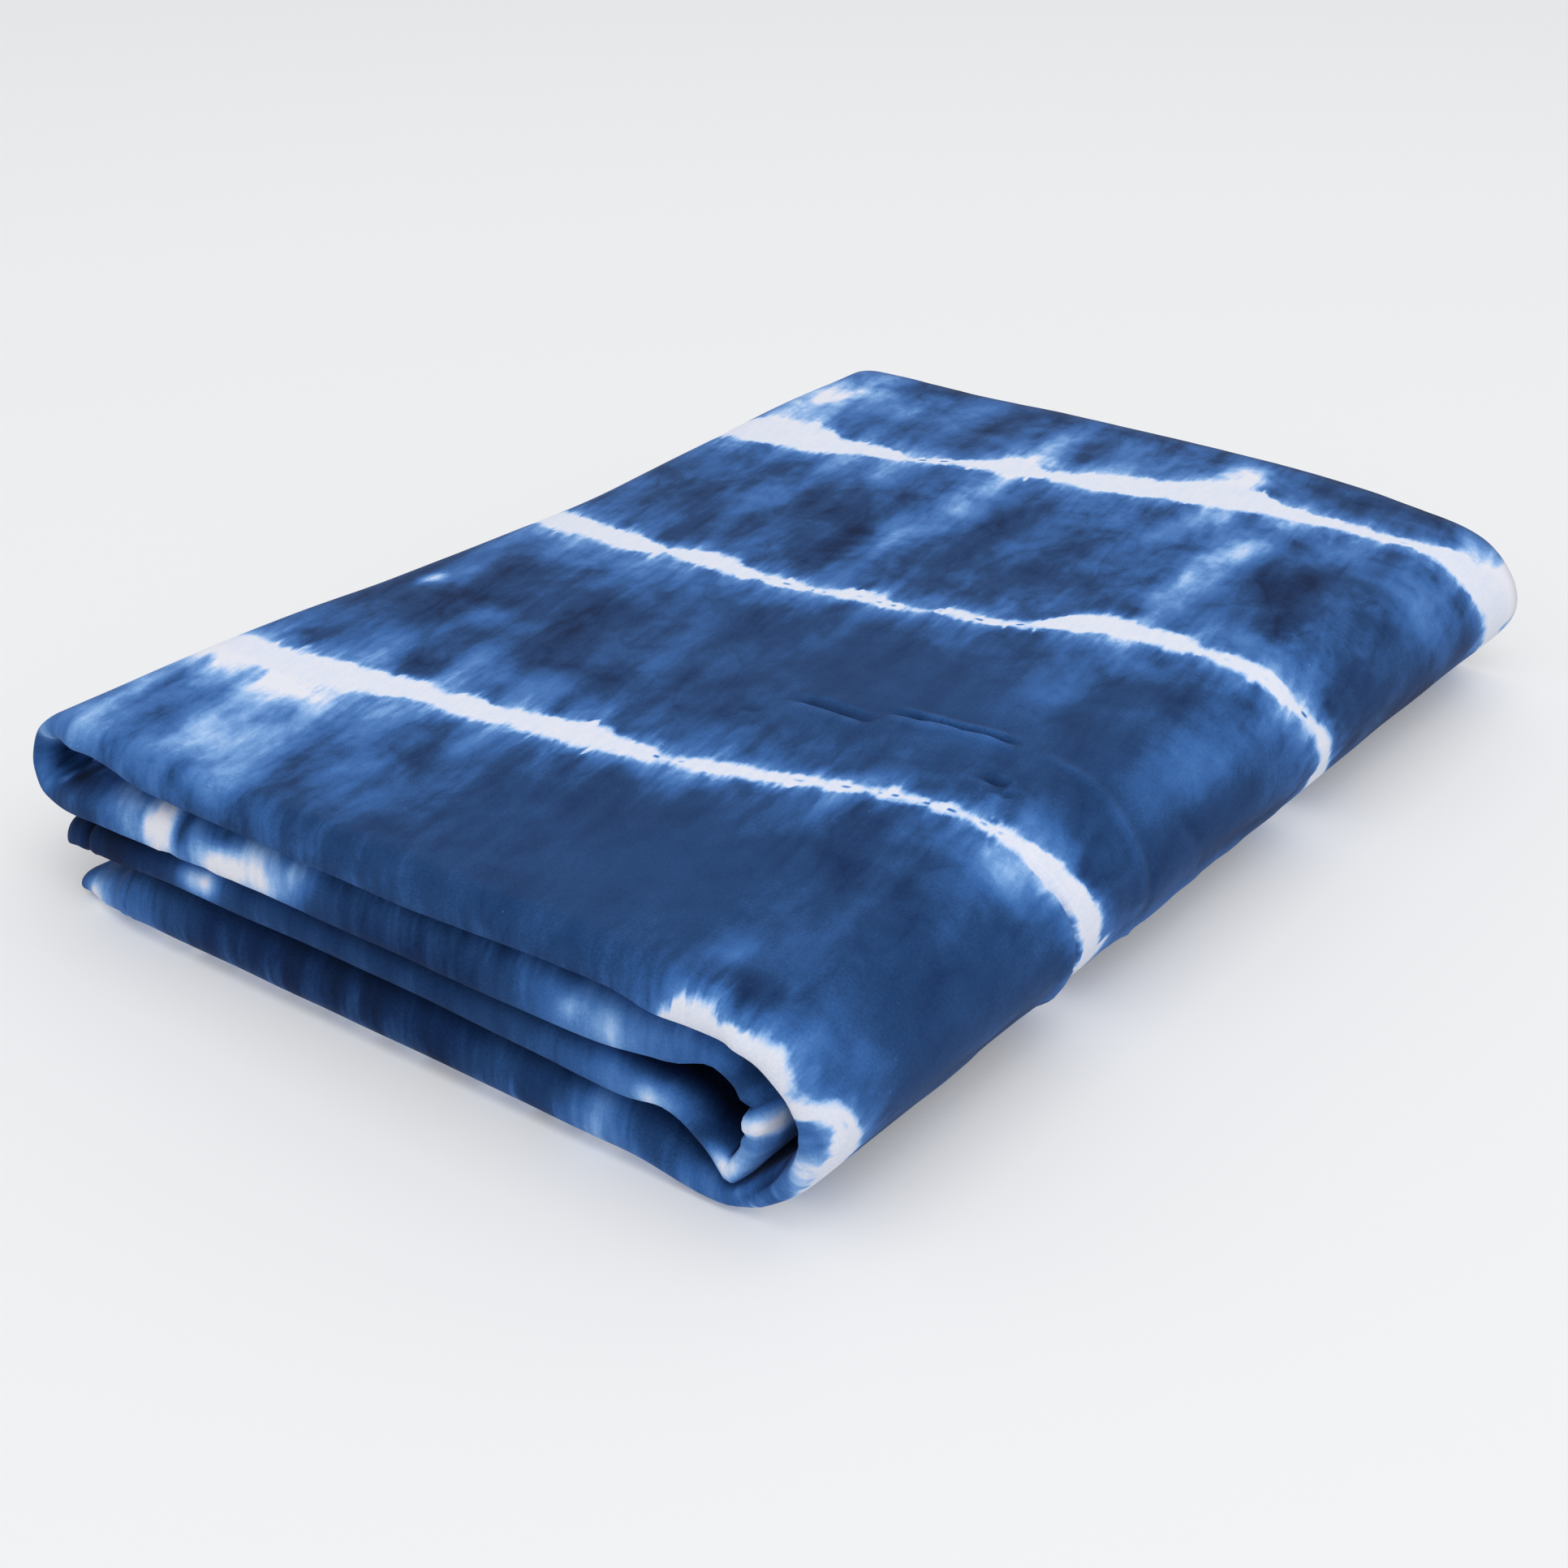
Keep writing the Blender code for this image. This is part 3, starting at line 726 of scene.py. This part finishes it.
def dyeAndShadeLevel(start, flatX, flatY):
    # How light the cloth is at each place, from the dye and from the painted shade and highlight in its tone,
    # 0 to 1 on the ramp
    def attribute(name):
        return start.make("ShaderNodeAttribute", {"attribute_name": name}, out=2)

    cosTurn, sinTurn = math.cos(dye["turn"]), math.sin(dye["turn"])
    p = flatX * cosTurn + flatY * sinTurn         # along the stripes
    q = flatY * cosTurn - flatX * sinTurn         # across them, as the dye ran

    def pattern(name):
        r = patternRows[name]
        return start.cloud(p / r.along, q / r.across, r.seed, r.detail, r.roughness, r.distortion)

    side, half, near = attribute("stripeSide") / mm, attribute("stripeHalf") / mm, attribute("stripeNear")
    # the tone holds the dye's lighter and darker places, painted shade in hollows and creases, and painted
    # highlight on the creases' lips
    tone, mottle = attribute("tone"), attribute("mottle")
    push = {name: row.strength for name, row in patternRows.items()}

    # How the white's edge runs: lobes, fine hairs and single long tongues
    hairs = pattern("hairs") - 0.5
    tongues = (pattern("tongues") - bleeding["tonguesFrom"]).over(0.0)
    lobes = (pattern("lobes") - 0.5) * push["lobes"]
    gap = side.size() - half - lobes - hairs * push["hairs"] - tongues * push["tongues"]
    softness = pattern("softness").between(*bleeding["softSpan"]) * push["softness"]
    softness = softness + bleeding["crispest"]
    white = (gap / softness).between(bleeding["edge"], -bleeding["edge"]) * near
    length = pattern("length").between(*bleeding["longSpan"]) * push["length"] + bleeding["shortest"]
    bleed = (-gap.over(0.0) / length).power(math.e) * near

    # The dyed ground: clouds, bands and streaks where the dye ran, veins, and the places of the tables, which
    # also carry painted shade in hollows and creases and painted highlight on the creases' lips
    clouds, bands, streaks = pattern("clouds") - 0.5, pattern("bands") - 0.5, pattern("streaks") - 0.5
    veins = (pattern("veins") - 0.5).size().between(dye["veinSpan"], 0.0) * push["veins"]
    run = clouds * push["clouds"] + bands * push["bands"] + streaks * push["streaks"] - veins
    broken = bands * mottle * dye["banded"] + clouds * mottle * dye["clouded"] + 1.0
    ground = run * mottle + dye["base"] + tone * broken
    bleedLevel = hairs * bleeding["hairy"] + streaks * bleeding["streaky"] + bleeding["strength"]
    level = (ground + bleed * bleedLevel).kept()
    level = level * (1 - white) + white * (bleeding["white"] + hairs * bleeding["whiteHairs"])

    dashes = start.cloud(p / stitching["dash"], 0.0, 21.0, detail=1).between(*stitching["dashSpan"])
    wander = (start.cloud(p / stitching["wanderSize"], 0.0, 17.0) - 0.5) * stitching["wander"]
    trace = (side + wander).size().between(*stitching["halfWidth"])
    return level - trace * dashes * half.between(*stitching["whiteHalf"]) * stitching["strength"]


def clothMaterial():
    material = bpy.data.materials.new("indigoCotton")
    material.use_nodes = True
    tree = material.node_tree
    shader = tree.nodes["Principled BSDF"]
    start = Thread(tree, None)
    flat = start.make("ShaderNodeUVMap", {"uv_map": "flatCloth"})
    flatX = start.make("ShaderNodeSeparateXYZ", None, {0: flat}, out=0) / mm
    flatY = start.make("ShaderNodeSeparateXYZ", None, {0: flat}, out=1) / mm

    size, thin, long = cotton["grainSize"], *cotton["yarn"]
    grain = start.cloud(flatX / size, flatY / size, 7.0, detail=2, roughness=0.7) - 0.5
    warp = start.cloud(flatX / thin, flatY / long, 13.0)
    weft = start.cloud(flatX / long, flatY / thin, 14.0)
    slub = warp + weft - 1.0
    lintX, lintY = cotton["lintSize"]
    lint = (start.cloud(flatX / lintX, flatY / lintY, 19.0, detail=1) - cotton["lintFrom"]).over(0.0)
    level = dyeAndShadeLevel(start, flatX, flatY) + grain * cotton["grain"] + slub * cotton["slub"]
    level = (level + lint * cotton["lint"]).kept()
    colour = level.make("ShaderNodeValToRGB", {"stops": dye["ramp"]}, {"Fac": level})
    tree.links.new(colour.socket, shader.inputs["Base Color"])

    turnsPerMm = 2 * math.pi / cotton["weavePitch"]
    weave = (flatX * turnsPerMm).wave() * (flatY * turnsPerMm).wave()
    fluff = start.cloud(flatX / cotton["fluffSize"], flatY / cotton["fluffSize"], 3.0, detail=3)
    height = weave * cotton["weaveBump"] + fluff * cotton["fluffBump"] + slub * cotton["slubBump"]
    plugs = {"Height": height, "Distance": mm, "Strength": cotton["bumpStrength"]}
    bump = start.make("ShaderNodeBump", None, plugs)
    tree.links.new(bump.socket, shader.inputs["Normal"])
    for name, value in cotton["finish"].items():
        shader.inputs[name].default_value = value
    return material


def addAttribute(mesh, name, values):
    spread = mesh.attributes.new(name, "FLOAT", "POINT")
    spread.data.foreach_set("value", values.astype(np.float32).ravel())


def clothSheet(grid, flat):
    # The grid as a mesh, with its places on the flat cloth as its UV map
    columns, rows = grid.shape[:2]
    bpy.ops.object.select_all(action="DESELECT")
    bpy.ops.mesh.primitive_grid_add(x_subdivisions=rows - 1, y_subdivisions=columns - 1, size=1)
    cloth = bpy.context.active_object
    cloth.name = "foldedShiboriCloth"
    mesh = cloth.data
    mesh.vertices.foreach_set("co", grid.astype(np.float32).ravel())
    while mesh.uv_layers:
        mesh.uv_layers.remove(mesh.uv_layers[0])
    corners = np.zeros(len(mesh.loops), dtype=np.int32)
    mesh.loops.foreach_get("vertex_index", corners)
    mesh.uv_layers.new(name="flatCloth").data.foreach_set("uv", flat[corners].astype(np.float32).ravel())
    return cloth


def foldedCloth():
    grid = foldedGrid()
    along, back = flatPlaces(grid)
    grid = crumple(sway(nudge(grid)), along, back)
    grid[:, :, 2] = np.maximum(grid[:, :, 2], pack["sheet"] / 2)          # none of it under the surface
    print("cloth folded:", grid.shape[0], "by", grid.shape[1], "points")

    cloth = clothSheet(grid, np.stack([along.ravel(), back.ravel()], axis=1))
    mesh = cloth.data
    for name, values in zip(("stripeSide", "stripeHalf", "stripeNear"), stripeFields(along, back)):
        addAttribute(mesh, name, values)
    # Painted shade in the creases' troughs and on their lower sides, and painted highlight on their lips and
    # prouder sides, added to the tone
    paintedCreaseShading = creaseHeight(along, back) / mm * dye["creaseShadeAndLipHighlight"]
    addAttribute(mesh, "tone", spots(along, back, toneRows) + paintedCreaseShading)
    addAttribute(mesh, "mottle", 1 - spots(along, back, calmRows))
    mesh.update()
    mesh.shade_smooth()
    mesh.materials.append(clothMaterial())
    print("cloth dyed:", len(stripeRows), "stripes,", len(toneRows), "lighter and darker places")

    thickness = cloth.modifiers.new("thickness", "SOLIDIFY")
    thickness.thickness = pack["sheet"]
    thickness.offset = 0.0
    return cloth


camera = {
    "lens": 36 * 3050 / 1932,
    "place": (0.4040, -0.5597, 0.352),
    "elevation": 27.34,
    "azimuth": 36.98,
}

# The sky's strength and colour, and the soft boxes: where they stand, in metres, their power in watts and
# their size
sky = {"strength": 0.74, "colour": tint(242, 242, 242)}
boxRow = namedtuple("boxRow", "where place power size")
boxRows = [
    boxRow("above", (0.0, 0.0, 3.2), 22, 3.0),
    boxRow("frontRight", (1.8, -1.2, 3.0), 42, 2.6),
]

# The pale board that the cloth lies on, which glows a little, so that the shadows on it stay light
board = {
    "size": 12,
    "colour": tint(211, 212, 214),
    "roughness": 0.7,
    "glowColour": tint(240, 240, 240),
    "glow": 0.22,
}


def addCamera():
    data = bpy.data.cameras.new("camera")
    data.lens = camera["lens"]
    data.sensor_width = 36
    eye = bpy.data.objects.new("camera", data)
    eye.location = camera["place"]
    eye.rotation_euler = (math.radians(90 - camera["elevation"]), 0, math.radians(camera["azimuth"]))
    bpy.context.scene.collection.objects.link(eye)
    bpy.context.scene.camera = eye
    print("camera placed")


def addLights():
    for box in boxRows:
        data = bpy.data.lights.new(box.where, "AREA")
        data.energy = box.power
        data.size = box.size
        lamp = bpy.data.objects.new(box.where, data)
        lamp.location = box.place
        lamp.rotation_euler = (-Vector(box.place)).to_track_quat("-Z", "Y").to_euler()
        bpy.context.scene.collection.objects.link(lamp)
    world = bpy.data.worlds.new("studio")
    world.use_nodes = True
    backdrop = world.node_tree.nodes["Background"]
    backdrop.inputs["Color"].default_value = sky["colour"]
    backdrop.inputs["Strength"].default_value = sky["strength"]
    bpy.context.scene.world = world
    bpy.context.scene.view_settings.view_transform = "Standard"
    print("lit by the sky and", len(boxRows), "soft boxes")


def addFloor():
    bpy.ops.object.select_all(action="DESELECT")
    bpy.ops.mesh.primitive_plane_add(size=board["size"])
    floor = bpy.context.active_object
    floor.name = "studioFloor"
    material = bpy.data.materials.new("paleBoard")
    material.use_nodes = True
    shader = material.node_tree.nodes["Principled BSDF"]
    shader.inputs["Base Color"].default_value = board["colour"]
    shader.inputs["Roughness"].default_value = board["roughness"]
    shader.inputs["Emission Color"].default_value = board["glowColour"]
    shader.inputs["Emission Strength"].default_value = board["glow"]
    floor.data.materials.append(material)
    print("floor laid")


addCamera()
addLights()
addFloor()
cloth = foldedCloth()
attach(cloth, "root")
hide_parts("folded_cloth")
print("cloth bound to the frame")
